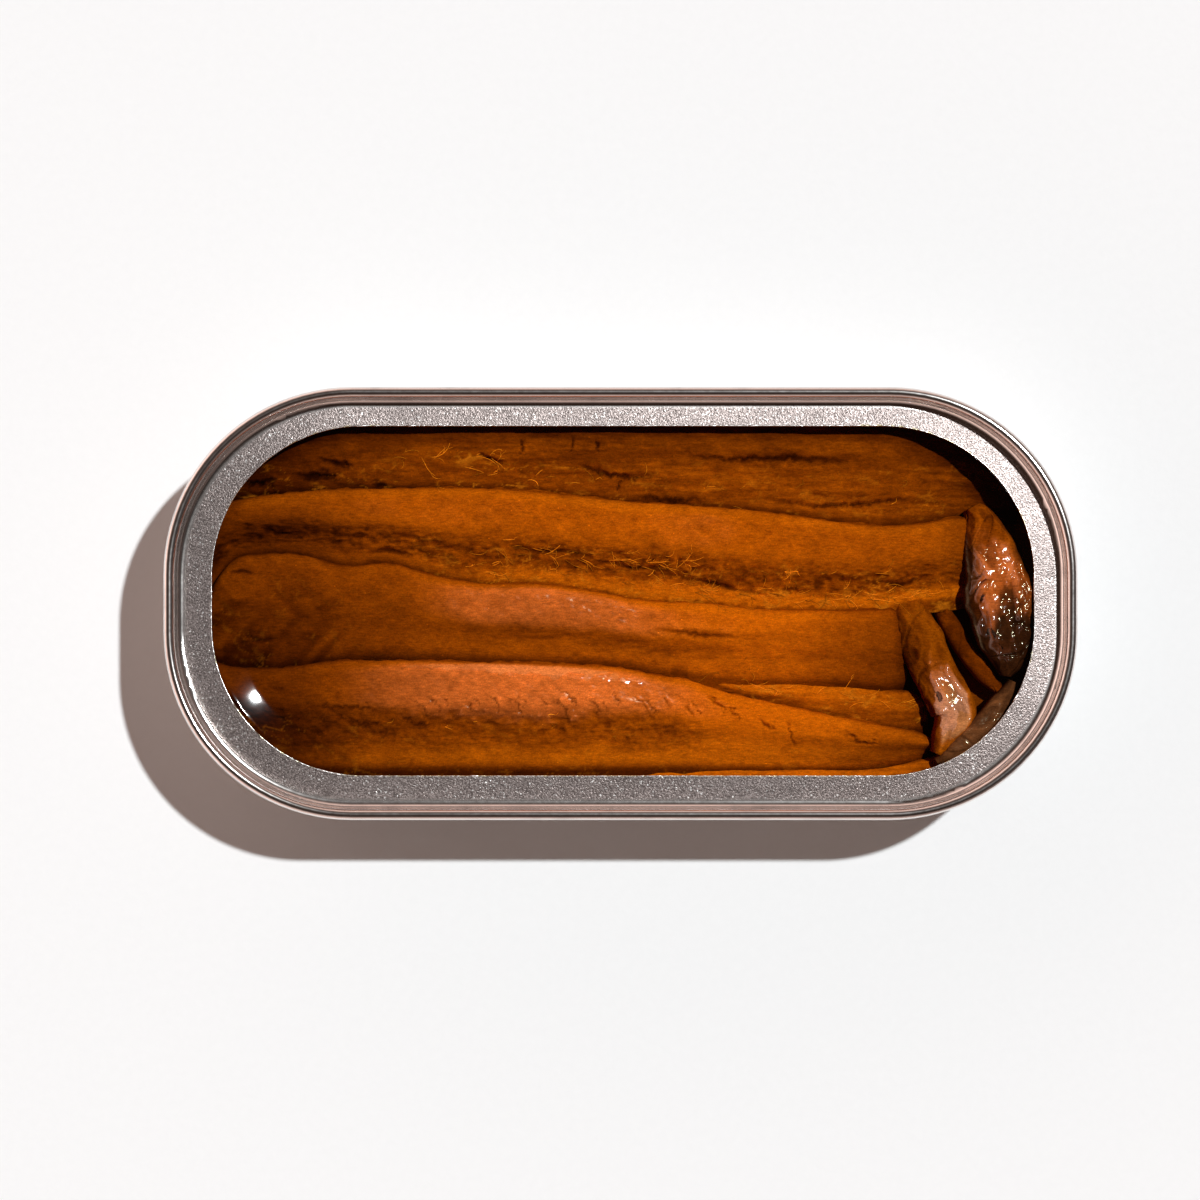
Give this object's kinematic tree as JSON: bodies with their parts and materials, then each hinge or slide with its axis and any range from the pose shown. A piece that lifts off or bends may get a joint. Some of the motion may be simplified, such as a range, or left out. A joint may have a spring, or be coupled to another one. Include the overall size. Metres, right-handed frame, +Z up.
{
  "type": "anchovy tin",
  "caption": "Opened shallow rounded tin of anchovy fillets in amber oil, with the torn ring of its peeled lid inside a double seam.",
  "frame": {"origin": "on the standing surface, under the middle of the tin", "axes": "+X along the tin, towards the end with the folded tail; +Y across it, towards its back; +Z up"},
  "size_m": [0.107, 0.0508, 0.02],
  "materials": {
    "tin_sheet": "drawn bright metal",
    "tin_ring": "grainy matt metal with a torn edge",
    "oil": "clear amber oil",
    "fish": "moist cured fish flesh",
    "fish_deep": "moist cured fish flesh, deep in oil"
  },
  "bodies": {
    "root": {"can_body": "tin_sheet", "end_ring": "tin_ring", "oil": "oil", "lower_layer": "fish_deep", "fillet_back": "fish", "fillet_upper": "fish", "fillet_middle": "fish", "fillet_between": "fish", "fillet_front": "fish", "fillet_edge": "fish", "fillet_cross": "fish", "fillet_under": "fish", "fillet_sliver": "fish"}
  },
  "joints": []
}
